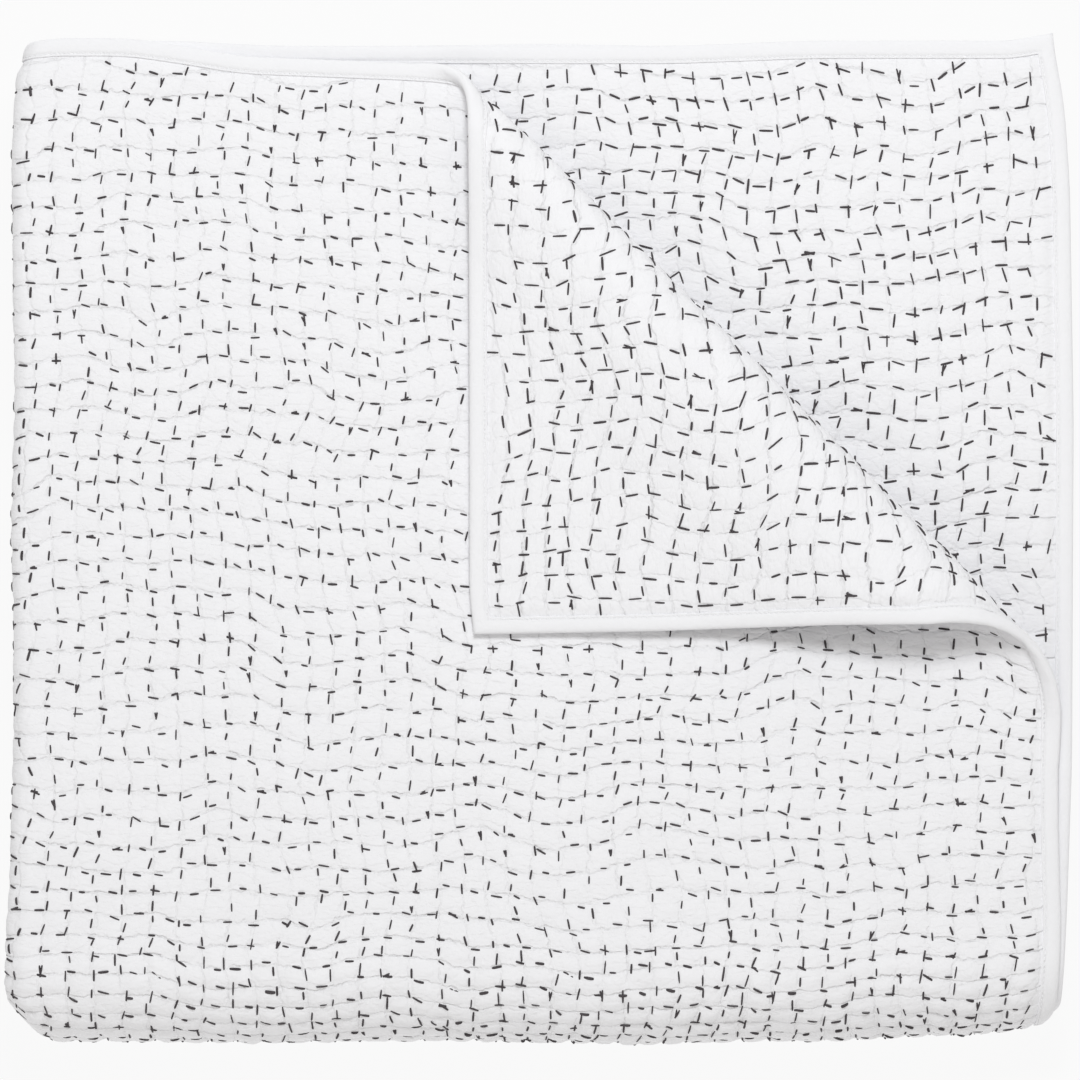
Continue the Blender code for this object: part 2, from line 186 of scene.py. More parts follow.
FREE_SIDE = (
    SideReach(0.000, -0.0060),
    SideReach(0.100, -0.0080),
    SideReach(0.200, -0.0120),
    SideReach(0.260, -0.0125),
    SideReach(0.300, -0.0080),
    SideReach(0.350, 0.0000),
    SideReach(0.420, 0.0020),
    SideReach(0.490, 0.0060),
    SideReach(0.540, 0.0060),
    SideReach(0.620, 0.0000),
)
Bow = namedtuple("Bow", "y shift")
RIGHT_SIDE = (
    Bow(-0.045, -0.006),
    Bow(0.018, -0.003),
    Bow(0.110, 0.000),
    Bow(0.300, 0.001),
    Bow(0.430, -0.001),
    Bow(0.475, -0.004),
    Bow(0.514, -0.011),
)
LEFT_SIDE = (
    Bow(-0.045, 0.0000),
    Bow(0.010, -0.0012),
    Bow(0.050, 0.0010),
    Bow(0.120, 0.0030),
    Bow(0.230, 0.0018),
    Bow(0.330, 0.0034),
    Bow(0.430, 0.0015),
    Bow(0.475, 0.0030),
    Bow(0.500, 0.0060),
    Bow(0.520, 0.0130),
)
LEFT_BOW_REACH = 0.22
Lift = namedtuple("Lift", "x shift")
LOWER_SIDE = (
    Lift(0.000, 0.0000),
    Lift(0.110, -0.0010),
    Lift(0.230, 0.0002),
    Lift(0.340, -0.0012),
    Lift(0.440, 0.0004),
    Lift(0.500, 0.0020),
    Lift(0.540, 0.0040),
    Lift(0.580, 0.0085),
)
LOWER_BOW_REACH = 0.14
TABLE_SOFTNESS = 0.012
PRESSED = 0.001

# The camera looks straight down, and the photograph's width is this wide at the top of the stack
VIEW_WIDTH = 0.5997
VIEW_HEIGHT = 0.086
VIEW_DISTANCE = 6.0
VIEW_CENTRE = (0.2840, 0.2335)
SENSOR_WIDTH = 36.0

Stretch = namedtuple("Stretch", "x y heading length bend radius")


def fold_path(x, y, heading, pieces):
    """Runs and half turns laid end to end. A piece is (length, 0, 0) or (0, bend, radius)."""
    path = []
    for run, bend, radius in pieces:
        length = run if bend == 0 else math.pi * radius
        path.append(Stretch(x, y, heading, length, bend, radius))
        x, y = beside(path[-1], length, 0.0)
        heading += bend * math.pi
    return path


def beside(stretch, distance, offset):
    """Places at distances along a stretch, offset to its right."""
    ahead_x, ahead_y = math.cos(stretch.heading), math.sin(stretch.heading)
    if stretch.bend == 0:
        return (
            stretch.x + distance * ahead_x + offset * ahead_y,
            stretch.y + distance * ahead_y - offset * ahead_x,
        )
    inward = stretch.bend * stretch.radius
    angle = stretch.heading + stretch.bend * distance / stretch.radius
    reach = stretch.bend * (stretch.radius + stretch.bend * offset)
    return (
        stretch.x - inward * ahead_y + reach * np.sin(angle),
        stretch.y + inward * ahead_x - reach * np.cos(angle),
    )


def follow(path, distance, offset):
    """Places beside a whole path."""
    x, y = np.empty_like(distance), np.empty_like(distance)
    start = 0.0
    for stretch in path:
        end = start + stretch.length
        first = -np.inf if stretch is path[0] else start
        last = np.inf if stretch is path[-1] else end
        here = (distance >= first) & (distance < last)
        x[here], y[here] = beside(stretch, distance[here] - start, offset[here])
        start = end
    return x, y


def across_path():
    quarter = WIDTH / 4
    run_a = quarter - math.pi / 2 * OUTER_TURN
    run_b = quarter - math.pi / 2 * INNER_TURN
    turns = math.pi * (OUTER_TURN + 2 * INNER_TURN)
    run_cd = (WIDTH - run_a - run_b - turns) / 2
    pieces = (
        (run_a, 0, 0),
        (0, 1, OUTER_TURN),
        (run_cd, 0, 0),
        (0, 1, INNER_TURN),
        (run_cd, 0, 0),
        (0, -1, INNER_TURN),
        (run_b, 0, 0),
    )
    return fold_path(run_a, (STRIP_LAYERS - 0.5) * LAYER_PITCH, math.pi, pieces)


def along_path():
    turns = math.pi * (STRIP_OUTER_TURN + 2 * STRIP_INNER_TURN)
    pieces = (
        (TOP_RUN, 0, 0),
        (0, 1, STRIP_OUTER_TURN),
        (MIDDLE_RUN, 0, 0),
        (0, 1, STRIP_INNER_TURN),
        (MIDDLE_RUN - INNER_FOLD_INSET, 0, 0),
        (0, -1, STRIP_INNER_TURN),
        (LENGTH - TOP_RUN - 2 * MIDDLE_RUN - turns, 0, 0),
    )
    middle = (4 * STRIP_LAYERS - STRIP_LAYERS / 2) * LAYER_PITCH
    return fold_path(TOP_RUN, middle, math.pi, pieces)


ROOT = math.sqrt(2)
ACROSS = across_path()
ALONG = along_path()
RUN_A = ACROSS[0].length
TURN_END = RUN_A + ACROSS[1].length
START_B = WIDTH - ACROSS[-1].length
LOWER_TURN_END = TOP_RUN + ALONG[1].length
UNDER_END = LOWER_TURN_END + ALONG[2].length
BACK_TURN_END = UNDER_END + ALONG[3].length
TOP_MIDDLE = (4 * STRIP_LAYERS - 0.5) * LAYER_PITCH
FLOOR_GAP = (LAYER_PITCH - CLOTH_THICKNESS) / 2
LEFT_LIMIT = -OUTER_TURN - CLOTH_THICKNESS / 2
RIGHT_LIMIT = ACROSS[-1].length
BOTTOM_LIMIT = -STRIP_OUTER_TURN - 1.5 * LAYER_PITCH - CLOTH_THICKNESS / 2
CREASE_TOP = (CREASE_SUM - 2 * TOP_RUN) / ROOT
CREASE_SIDE = (2 * RUN_A - CREASE_SUM) / ROOT
ROLL_SPREAD = (ROLL_AT_SIDE - ROLL_AT_TOP) / (CREASE_SIDE - CREASE_TOP)
ROLL_RISE = ROLL_FLATNESS / math.pi
ROLL_REACH = math.sqrt(2 - ROLL_FLATNESS**2) / math.pi
PANEL_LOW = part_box("quilted_panel")[0]
SHIFT = (PANEL_LOW[0] - LEFT_LIMIT, PANEL_LOW[1] - BOTTOM_LIMIT)


def ease(share):
    share = np.clip(share, 0.0, 1.0)
    return share * share * (3 - 2 * share)


def read_table(table, place):
    """The second column of a short table, in soft curves through its rows."""
    rows = np.array(table)
    offsets = TABLE_SOFTNESS * np.linspace(-1, 1, 5)
    return sum(np.interp(place + offset, rows[:, 0], rows[:, 1]) for offset in offsets) / len(offsets)


def end_reach(u, v):
    top = np.maximum(0.0, 1 - v / TOP_RUN)
    last = np.maximum(0.0, 1 - (LENGTH - v) / ALONG[-1].length)
    return top * read_table(TOP_END, u) + last * read_table(LAST_END, u)


def side_reach(u, v):
    return np.maximum(0.0, 1 - u / RUN_A) * read_table(FREE_SIDE, v)


def by_crease(x, y):
    """Plan places by the crease: how far past it, how far along it, and the roll's length there."""
    along = (x - y) / ROOT
    return (x + y - CREASE_SUM) / ROOT, along, ROLL_AT_TOP + ROLL_SPREAD * (along - CREASE_TOP)


def turn_corner(x, y, z):
    """Rolls the corner of the top layer up, over and back on itself along the crease."""
    across, along, length = by_crease(x, y)
    share = across / length + ROLL_REACH
    above = z - TOP_MIDDLE
    rise, reach = ROLL_RISE * length, ROLL_REACH * length
    angle = math.pi * np.clip(share, 0.0, 1.0)
    past = np.maximum(share - 1, 0.0)
    settled = (1 - TAIL_SHARE) * ease(past / ROLL_SETTLE) + TAIL_SHARE * ease(past / TAIL_SETTLE)
    drop = settled * (2 * rise - LAYER_PITCH - FLAP_CLEARANCE)
    out = (reach - above) * np.sin(angle) - reach - past * length + CREASE_SUM / ROOT
    height = rise - (rise - above) * np.cos(angle) - drop
    along = along - FLAP_SHEAR * past * length
    turned = share > 0
    return (
        np.where(turned, (out + along) / ROOT, x),
        np.where(turned, (out - along) / ROOT, y),
        np.where(turned, TOP_MIDDLE + height, z),
    )


def round_corner(x, y, corner_x, inward, size):
    """Draws a square lower corner of the plan in to a round one."""
    from_x = 1 - inward * (x - corner_x) / size
    from_y = 1 - (y - BOTTOM_LIMIT) / size
    inside = (from_x > 0) & (from_y > 0)
    round_x = from_x * np.sqrt(np.maximum(1 - from_y * from_y / 2, 0.0))
    round_y = from_y * np.sqrt(np.maximum(1 - from_x * from_x / 2, 0.0))
    return (
        np.where(inside, corner_x + inward * size * (1 - round_x), x),
        np.where(inside, BOTTOM_LIMIT + size * (1 - round_y), y),
    )


def folded(u, v, n):
    """Carries flat places through the folds to where they lie, as rows of (x, y, z)."""
    u, v, n = (np.asarray(a, float).ravel() for a in np.broadcast_arrays(u, v, n))
    x, height = follow(ACROSS, u, n)
    y, z = follow(ALONG, v, height - STRIP_LAYERS / 2 * LAYER_PITCH)
    x = x + side_reach(u, v)
    y = y + end_reach(u, v)
    top = (u < RUN_A) & (v < TOP_RUN)
    x[top], y[top], z[top] = turn_corner(x[top], y[top], z[top])
    shrink = 1 - FREE_END_SINK * y / TOP_RUN - RIGHT_SIDE_SINK * x / RUN_A
    bow = ease(x / RIGHT_LIMIT) ** 2 * read_table(RIGHT_SIDE, y)
    bow = bow + ease(1 - (x - LEFT_LIMIT) / LEFT_BOW_REACH) * read_table(LEFT_SIDE, y)
    lift = ease(1 - (y - BOTTOM_LIMIT) / LOWER_BOW_REACH) * read_table(LOWER_SIDE, x)
    x, y = round_corner(x, y, LEFT_LIMIT, 1, LEFT_ROUND)
    x, y = round_corner(x, y, RIGHT_LIMIT, -1, RIGHT_ROUND)
    z = (z - FLOOR_GAP) * shrink
    z = np.where(z < PRESSED, PRESSED * np.exp(np.minimum(z / PRESSED - 1, 0.0)), z)
    return np.stack([x + bow + SHIFT[0], y + lift + SHIFT[1], z], axis=1)


def noise(x, y, seed):
    """Smooth noise from -1 to 1 that changes over one unit, the same each time."""
    lattice = np.random.default_rng(seed).uniform(-1, 1, (LATTICE, LATTICE))
    column, row = np.floor(x).astype(int), np.floor(y).astype(int)
    share_x, share_y = ease(x - column), ease(y - row)
    corner = {(i, j): lattice[(column + i) % LATTICE, (row + j) % LATTICE] for i in (0, 1) for j in (0, 1)}
    low = corner[0, 0] + share_x * (corner[1, 0] - corner[0, 0])
    high = corner[0, 1] + share_x * (corner[1, 1] - corner[0, 1])
    return low + share_y * (high - low)


def ripples(table, u, v):
    """The sum of a table of smooth noises, each with its own reach across and along."""
    return sum(r.size * noise(u / r.across + r.start[0], v / r.along + r.start[1], r.seed) for r in table)


def wander(u, v):
    """How far the hand-sewn columns and rows wander from their even pitch."""
    crowding = CROWDED_ROWS * STITCH_PITCH * ease((v - CROWD_START) / CROWD_LENGTH)
    return ripples(COLUMN_RIPPLES, u, v), ripples(ROW_RIPPLES, u, v) + crowding


def quilt_place(u, v):
    """Flat places counted in columns and rows of stitching."""
    across, along = wander(u, v)
    return (u + across) / STITCH_PITCH, (v + along) / STITCH_PITCH


def flat_place(column, row):
    """The flat places of columns and rows, found by a few steps of correction."""
    u, v = column * STITCH_PITCH, row * STITCH_PITCH
    for _ in range(CORRECTIONS):
        across, along = wander(u, v)
        u, v = column * STITCH_PITCH - across, row * STITCH_PITCH - along
    return u, v


def rim_distance(u, v):
    return np.minimum(np.minimum(u, WIDTH - u), np.minimum(v, LENGTH - v))


def flap_corner():
    x, y, _ = turn_corner(np.array([RUN_A]), np.array([TOP_RUN]), np.array([TOP_MIDDLE]))
    return float(x[0]), float(y[0])


FLAP_LEFT, FLAP_LOW = flap_corner()


def shown(u, v, side):
    """How clearly each flat place shows: 2 from above, 1 from the side or below, and 0 if hidden."""
    x = np.where(u < RUN_A, RUN_A - u, u - START_B)
    y = TOP_RUN - v
    across, _, length = by_crease(x, y)
    share = across / length + ROLL_REACH
    on_top = v < TOP_RUN
    if side < 0:
        turned_over = on_top & (u < RUN_A) & (share > ROLL_START)
        bared = on_top & (u > START_B) & (across > -REVEAL_MARGIN)
        return np.where(turned_over | bared, 2, 0)
    covered = (x > FLAP_LEFT + FLAP_COVER) & (y > FLAP_LOW + FLAP_COVER)
    on_panel = on_top & (u < RUN_A)
    on_turns = (u < TURN_END) & (v < LOWER_TURN_END) & ((u >= RUN_A) | (v >= TOP_RUN))
    above = (on_panel & (share < ROLL_TOP) & ~covered) | on_turns
    beneath = (u < TURN_END) & (v >= LOWER_TURN_END) & ((v < BACK_TURN_END) | (u >= RUN_A))
    in_roll = on_panel & (share >= ROLL_TOP) & (share < ROLL_MOUTH)
    return np.where(above, 2, np.where(beneath | in_roll, 1, 0))


def half_thickness(u, v):
    """Half the cloth's thickness, pressed thin under the binding."""
    share = ease((rim_distance(u, v) - RIM_WIDTH) / RIM_SLOPE)
    return RIM_HALF + (CLOTH_THICKNESS / 2 - RIM_HALF) * share


def valley(count):
    """The depth, up to 1, of the valley along each whole count of columns or rows."""
    return np.exp(-((np.abs(count - np.round(count)) / VALLEY_WIDTH) ** 2))


def relief(u, v, side):
    """The height of the quilting over the flat cloth: pillows between the rows and columns."""
    column, row = quilt_place(u, v)
    crowded = ease((v - CROWD_START) / CROWD_FADE) * ease((LOWER_TURN_END - v) / CROWD_FADE)
    pull = EVEN_PULL + (1 - EVEN_PULL) * noise(column * PULL_RATE, row * PULL_RATE, PULL_SEED + side)
    column_pull = (COLUMN_PULL + CROWD_COLUMN_PULL * crowded) * valley(column) * pull
    pillow = (1 - column_pull) * (1 - ROW_PULL * valley(row) * pull)
    puff = noise(column * PUFF_COLUMN_RATE + PUFF_START, row * PUFF_ROW_RATE, PUFF_SEED + side)
    pillow += PUFF_CHANGE * puff * pillow
    fade = ease((rim_distance(u, v) - RIM_WIDTH) / RELIEF_SLOPE)
    raised = (PILLOW_RISE * pillow - VALLEY_SINK) * (1 + CROWD_RISE * crowded)
    return fade * (raised + ripples(HEAVES, u, v))


def surface(u, v, side):
    """The height n of the cloth's front or back face at flat places."""
    underside = (side > 0) & (v >= LOWER_TURN_END) & (v < UNDER_END) & (u < RUN_A)
    raised = relief(u, v, side)
    raised = np.where(underside, np.minimum(raised - PILLOW_RISE, 0.0), raised)
    return side * (half_thickness(u, v) + raised * (shown(u, v, side) > 0))


def spaced(start, end, parts):
    return [start + (end - start) * i / parts for i in range(parts)]


def blocks(start, end):
    """(start of a block, steps in it) for a stretch of fine cloth."""
    count = max(1, round((end - start) / BLOCK))
    return [(place, STEPS) for place in spaced(start, end, count)]


def plain(start, end, parts):
    return [(place, 1) for place in spaced(start, end, parts)]


def turn(start, end, parts, steps):
    return [(place, steps) for place in spaced(start, end, parts)]


def u_blocks():
    d_end = TURN_END + ACROSS[2].length
    c_start = d_end + ACROSS[3].length
    c_end = c_start + ACROSS[4].length
    reveal = START_B + FLAP_LEFT - REVEAL_START
    made = [(EDGE_START, EDGE_STEPS)] + blocks(EDGE_LINE, RUN_A) + turn(RUN_A, TURN_END, 1, STEPS)
    made += plain(TURN_END, d_end, HIDDEN_RUN_PARTS) + turn(d_end, c_start, 1, TURN_STEPS)
    made += plain(c_start, c_end, HIDDEN_RUN_PARTS) + turn(c_end, START_B, 1, TURN_STEPS)
    made += plain(START_B, reveal, UNDER_FLAP_PARTS) + blocks(reveal, WIDTH - EDGE_LINE)
    return made + [(WIDTH - EDGE_LINE, EDGE_STEPS)], WIDTH - EDGE_START


def v_blocks():
    s3_end = BACK_TURN_END + ALONG[4].length
    s4_start = s3_end + ALONG[5].length
    made = [(EDGE_START, EDGE_STEPS)] + blocks(EDGE_LINE, TOP_RUN)
    made += turn(TOP_RUN, LOWER_TURN_END, LOWER_TURN_PARTS, STEPS)
    made += blocks(LOWER_TURN_END, UNDER_END) + turn(UNDER_END, BACK_TURN_END, 1, STEPS)
    made += plain(BACK_TURN_END, s3_end, HIDDEN_STRIP_PARTS) + turn(s3_end, s4_start, 1, STEPS)
    made += plain(s4_start, LENGTH - EDGE_LINE, HIDDEN_STRIP_PARTS)
    return made + [(LENGTH - EDGE_LINE, EDGE_STEPS)], LENGTH - EDGE_START


def lines_of(made, end):
    """All the lines of the finest mesh, and the first line of each block."""
    starts = [place for place, _ in made] + [end]
    lines, firsts = [], []
    for index, (place, steps) in enumerate(made):
        firsts.append(len(lines))
        lines += spaced(place, starts[index + 1], steps)
    firsts.append(len(lines))
    lines.append(end)
    return np.array(lines), firsts


def turn_spans(path):
    """Where the half turns of a path start and end."""
    spans, start = [], 0.0
    for stretch in path:
        if stretch.bend:
            spans.append((start, start + stretch.length))
        start += stretch.length
    return spans


def inside(spans, place):
    return any(start - ROUNDING < place < end - ROUNDING for start, end in spans)


def stride(steps, level, curved, bent):
    """The step between the lines that a block keeps."""
    if level == 2 or steps < TURN_STEPS:
        return 1 if level else steps
    if level == 1:
        return 2 if bent else 3
    return steps // TURN_STEPS if curved else steps


class Panel:
    """The cloth as two faces of quads, finer where they show, joined at the rim under the binding."""

    def __init__(self):
        u_made, u_end = u_blocks()
        v_made, v_end = v_blocks()
        self.u, self.u_first = lines_of(u_made, u_end)
        self.v, self.v_first = lines_of(v_made, v_end)
        self.places, self.faces, self.count = [], [], 0
        self.index = {}
        for side in (1, -1):
            self.add_side(side)
        self.add_rims()

    def level(self, i, j, side):
        """How finely a block is cut: by whatever of it shows best."""
        u0, u1 = self.u[self.u_first[i]], self.u[self.u_first[i + 1]]
        v0, v1 = self.v[self.v_first[j]], self.v[self.v_first[j + 1]]
        us, vs = np.meshgrid(np.linspace(u0, u1, PROBES), np.linspace(v0, v1, PROBES))
        us = np.clip(us, u0 + JUST_INSIDE, u1 - JUST_INSIDE)
        vs = np.clip(vs, v0 + JUST_INSIDE, v1 - JUST_INSIDE)
        return int(shown(us, vs, side).max())

    def kept_lines(self, i, j, side):
        """The lines that a block keeps, across and along."""
        i0, i1, j0, j1 = *self.u_first[i:i + 2], *self.v_first[j:j + 2]
        level = self.level(i, j, side)
        rolled = side > 0 and level == 0 and self.u[i0] < RUN_A and self.v[j0] < TOP_RUN
        u_curved = inside(turn_spans(ACROSS), self.u[i0]) or rolled
        v_curved = inside(turn_spans(ALONG), self.v[j0]) or rolled
        bent = u_curved or v_curved
        us = range(i0, i1 + 1, stride(i1 - i0, level, u_curved, bent))
        vs = range(j0, j1 + 1, stride(j1 - j0, level, v_curved, bent))
        return list(us), list(vs)

    def add_side(self, side):
        used = np.zeros((len(self.u), len(self.v)), bool)
        cells = []
        for i in range(len(self.u_first) - 1):
            for j in range(len(self.v_first) - 1):
                us, vs = self.kept_lines(i, j, side)
                used[np.ix_(us, vs)] = True
                cells.append((us, vs))
        index = np.full(used.shape, -1)
        index[used] = self.count + np.arange(used.sum())
        self.count += int(used.sum())
        at_u, at_v = np.nonzero(used)
        u, v = self.u[at_u], self.v[at_v]
        self.places.append(np.stack([u, v, surface(u, v, side)], axis=1))
        self.index[side] = index
        for us, vs in cells:
            for i0, i1 in zip(us, us[1:]):
                for j0, j1 in zip(vs, vs[1:]):
                    loop = self.outline(index, i0, i1, j0, j1)
                    self.faces.append(loop if side > 0 else loop[::-1])

    def outline(self, index, i0, i1, j0, j1):
        """A face's points, with those that a finer neighbour put on its sides."""
        if i1 - i0 == 1 and j1 - j0 == 1:
            return [int(index[i0, j0]), int(index[i1, j0]), int(index[i1, j1]), int(index[i0, j1])]
        loop = [*index[i0:i1, j0], *index[i1, j0:j1], *index[i1:i0:-1, j1], *index[i0, j1:j0:-1]]
        return [int(k) for k in loop if k >= 0]

    def add_rims(self):
        front, back = self.index[1], self.index[-1]
        last_u, last_v = len(self.u) - 1, len(self.v) - 1
        for i, flip in ((0, True), (last_u, False)):
            for j0, j1 in zip(self.v_first, self.v_first[1:]):
                self.wall(front[i, j0:j1 + 1], back[i, j0:j1 + 1], flip)
        for j, flip in ((0, False), (last_v, True)):
            for i0, i1 in zip(self.u_first, self.u_first[1:]):
                self.wall(front[i0:i1 + 1, j], back[i0:i1 + 1, j], flip)

    def wall(self, front, back, flip):
        loop = [int(k) for k in back if k >= 0] + [int(k) for k in front[::-1] if k >= 0]
        self.faces.append(loop[::-1] if flip else loop)


def mesh_object(name, points, faces, material, flat=None, quilt=None):
    mesh = bpy.data.meshes.new(name)
    mesh.from_pydata([tuple(p) for p in points], [], faces)
    mesh.update()
    mesh.polygons.foreach_set("use_smooth", np.ones(len(mesh.polygons), bool))
    for label, values in (("flat", flat), ("quilt", quilt)):
        if values is not None:
            made = mesh.attributes.new(label, "FLOAT_VECTOR", "POINT")
            made.data.foreach_set("vector", np.asarray(values, np.float32).ravel())
    mesh.materials.append(material)
    obj = bpy.data.objects.new(name, mesh)
    bpy.context.scene.collection.objects.link(obj)
    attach(obj, "root")
    return obj


def build_cloth(material):
    panel = Panel()
    flat = np.concatenate(panel.places)
    column, row = quilt_place(flat[:, 0], flat[:, 1])
    side = np.sign(flat[:, 2])
    quilt = np.stack([column, row, side], axis=1)
    obj = mesh_object("quilted_cloth", folded(*flat.T), panel.faces, material, flat, quilt)
    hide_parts("quilted_panel")
    return obj


Profile = namedtuple("Profile", "inset height")
BINDING_PROFILE = (
    Profile(0.00960, 0.00150),
    Profile(0.00975, 0.00205),
    Profile(0.00950, 0.00236),
    Profile(0.00880, 0.00240),
    Profile(0.00835, 0.00190),
    Profile(0.00790, 0.00246),
    Profile(0.00600, 0.00272),
    Profile(0.00400, 0.00276),
    Profile(0.00200, 0.00250),
    Profile(0.00080, 0.00190),
    Profile(0.00015, 0.00100),
    Profile(0.00000, 0.00000),
)
BINDING_STEP = 0.0036
BINDING_TURN_STEP = 0.0018
PUCKER = 0.00016
PUCKER_SIZE = 0.0035
ROLL_PUCKERS = 3.0
PUCKER_SPREAD = 0.55
PUCKER_EDGE = 0.0085
PUCKER_SEED = 21
PLUMP_CHANGE = 0.04
PLUMP_SIZE = 0.03
PLUMP_SEED = 20


def stations(path, length):
    """Shares of the way along an edge, closer together where it turns."""
    places, start = [0.0], 0.0
    for stretch in path:
        step = BINDING_TURN_STEP if stretch.bend else BINDING_STEP
        count = max(2, round(stretch.length / step))
        places += [start + stretch.length * i / count for i in range(1, count + 1)]
        start += stretch.length
    return np.array(places) / length


def binding_ring(inset):
    """Flat places at distances in from the edge, all the way round it."""
    over, down = stations(ACROSS, WIDTH), stations(ALONG, LENGTH)
    span_u, span_v = WIDTH - 2 * inset, LENGTH - 2 * inset
    us = (inset + over[:-1] * span_u, WIDTH - inset + 0 * down[:-1])
    vs = (inset + 0 * over[:-1], inset + down[:-1] * span_v)
    us += (inset + over[:0:-1] * span_u, inset + 0 * down[:0:-1])
    vs += (LENGTH - inset + 0 * over[:0:-1], inset + down[:0:-1] * span_v)
    return np.concatenate(us, axis=1), np.concatenate(vs, axis=1)


def binding_puckers(u, v, inset):
    """Small puckers of the binding, deeper where it goes over the roll."""
    across, _, length = by_crease(RUN_A - u, TOP_RUN - v)
    from_middle = (across / length + ROLL_REACH - 0.5) / PUCKER_SPREAD
    on_roll = np.exp(-(from_middle**2)) * (u < RUN_A) * (v < TOP_RUN)
    depth = PUCKER * (1 + ROLL_PUCKERS * on_roll) * (inset < PUCKER_EDGE)
    return depth * noise(u / PUCKER_SIZE, v / PUCKER_SIZE, PUCKER_SEED)


def build_binding(material):
    """The folded strip round the whole edge, with mitred corners, crowned and drawn in at its stitching."""
    profile = [*BINDING_PROFILE, *(Profile(p.inset, -p.height) for p in BINDING_PROFILE[-2::-1])]
    inset, height = (np.array(column)[:, None] for column in zip(*profile))
    u, v = binding_ring(inset)
    plump = 1 + PLUMP_CHANGE * noise(u / PLUMP_SIZE, v / PLUMP_SIZE, PLUMP_SEED)
    n = height * plump + binding_puckers(u, v, inset) * np.sign(height)
    number = np.arange(u.size).reshape(u.shape)
    after = np.roll(number, -1, axis=1)
    below, below_after = np.roll(number, -1, axis=0), np.roll(after, -1, axis=0)
    faces = np.stack([number, below, below_after, after], axis=-1).reshape(-1, 4).tolist()
    flat = np.stack([u.ravel(), v.ravel(), n.ravel()], axis=1)
    obj = mesh_object("edge_binding", folded(*flat.T), faces, material, flat)
    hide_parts("binding")
    return obj


# A stitch is a short thread: the place, size and height of its rings, from end to end
Ring = namedtuple("Ring", "share size rise")
STITCH_RINGS = (
    Ring(-1.00, 0.35, -0.90),
    Ring(-0.82, 0.85, 0.15),
    Ring(-0.35, 1.00, 0.55),
    Ring(0.35, 1.00, 0.55),
    Ring(0.82, 0.85, 0.15),
    Ring(1.00, 0.35, -0.90),
)
THREAD_FLATNESS = 0.8


def thread_mesh(u, v, n, heading, lengths, side, radius, sides):
    """Short threads, each lying along its heading at a flat place, its ends dipping into the cloth."""
    share, size, rise = (np.array(column)[None, :, None] for column in zip(*STITCH_RINGS))
    du, dv = (a[:, None, None] for a in heading)
    radius = radius[:, None, None]
    angle = 2 * math.pi * np.arange(sides)[None, None, :] / sides
    half = lengths[:, None, None] / 2 * share
    sideways = radius * size * np.cos(angle)
    upward = radius * rise + radius * size * np.sin(angle) * THREAD_FLATNESS
    us = u[:, None, None] + half * du - sideways * dv
    vs = v[:, None, None] + half * dv + sideways * du
    points = folded(us, vs, n(us, vs) + side * upward)
    number = np.arange(us.size).reshape(us.shape)
    after = np.roll(number, -1, axis=2)
    quads = np.stack([number[:, :-1], after[:, :-1], after[:, 1:], number[:, 1:]], axis=-1)
    faces = quads.reshape(-1, 4).tolist() + number[:, 0, ::-1].tolist() + number[:, -1].tolist()
    return points, [face[::-1] for face in faces] if side < 0 else faces


def joined(parts):
    """The points and faces of several meshes as one."""
    faces, count = [], 0
    for points, made in parts:
        faces += [[k + count for k in face] for face in made]
        count += len(points)
    return np.concatenate([points for points, _ in parts]), faces


# The running stitches: their thread, their length on each face, and how far they stray
THREAD_RADIUS = 0.00052
RADIUS_CHANGE = 0.25
THREAD_PATCH = 0.007
THREAD_SEED = 50
ROUND_SIDES = 6
PLAIN_SIDES = 4
BACK_THICKNESS = 1.06
FRONT_STITCH = 0.0055
BACK_STITCH = 0.0074
STITCH_MARGIN = 0.0125
StitchDrift = namedtuple("StitchDrift", "size onward aside start seed")
STITCH_DRIFTS = (
    StitchDrift(1.30, 26, 4.5, 4, 40),
    StitchDrift(0.30, 5, 3, 0, 44),
)
STITCH_SEED = 30
PLACE_JITTER = 0.22
LINE_JITTER = 0.17
TURN_JITTER = 0.20
LENGTH_JITTER = 0.27
STITCH_START = 0.12
HEADING_STEP = 0.2
DOUBLED_SHARE = 0.05
DOUBLED_TURN = 0.40
DOUBLED_LENGTH = 0.75
DOUBLED_SHIFT = (0.0006, -0.0004)
ROW_SLANT = -0.15
COLUMN_SLANT = -0.07


def turned(heading, angle):
    du, dv = heading
    return du * np.cos(angle) - dv * np.sin(angle), du * np.sin(angle) + dv * np.cos(angle)


